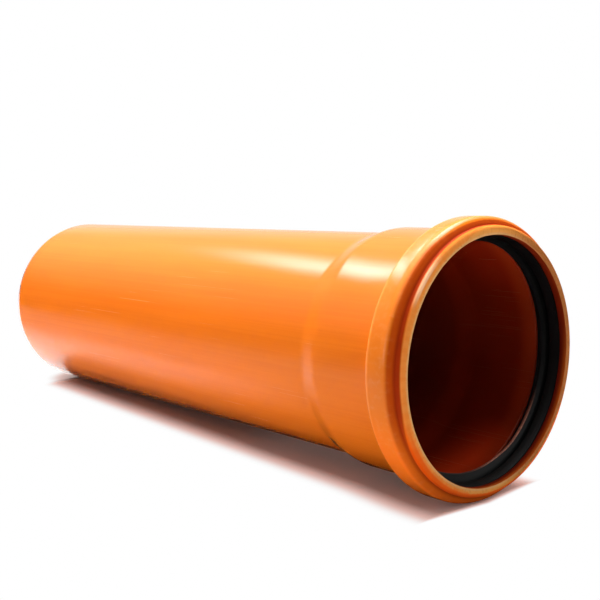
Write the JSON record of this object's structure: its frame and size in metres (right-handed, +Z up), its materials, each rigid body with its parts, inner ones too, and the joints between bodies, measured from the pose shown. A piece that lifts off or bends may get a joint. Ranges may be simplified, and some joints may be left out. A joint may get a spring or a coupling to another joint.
{
  "type": "pvc sewer pipe",
  "caption": "Orange plastic sewer pipe lying on its side: a belled socket whose raised bead holds a rubber sealing ring, and a plain chamfered spigot.",
  "frame": {"origin": "on the floor under the middle of the pipe, at the bottom centre of the box round it as it lies", "axes": "+Z up, +X along the pipe towards the socket's mouth; the pipe's own axis lies in the XZ plane and rises 1.43 degrees from spigot to mouth, because the bead is wider than the spigot"},
  "size_m": [0.5308, 0.185, 0.1853],
  "materials": {
    "pvc_orange": "gloss, with extrusion lines and a dull sawn rim",
    "rubber_black": "satin"
  },
  "bodies": {
    "root": {"pipe": "pvc_orange", "sealing_ring": "rubber_black"}
  },
  "joints": []
}
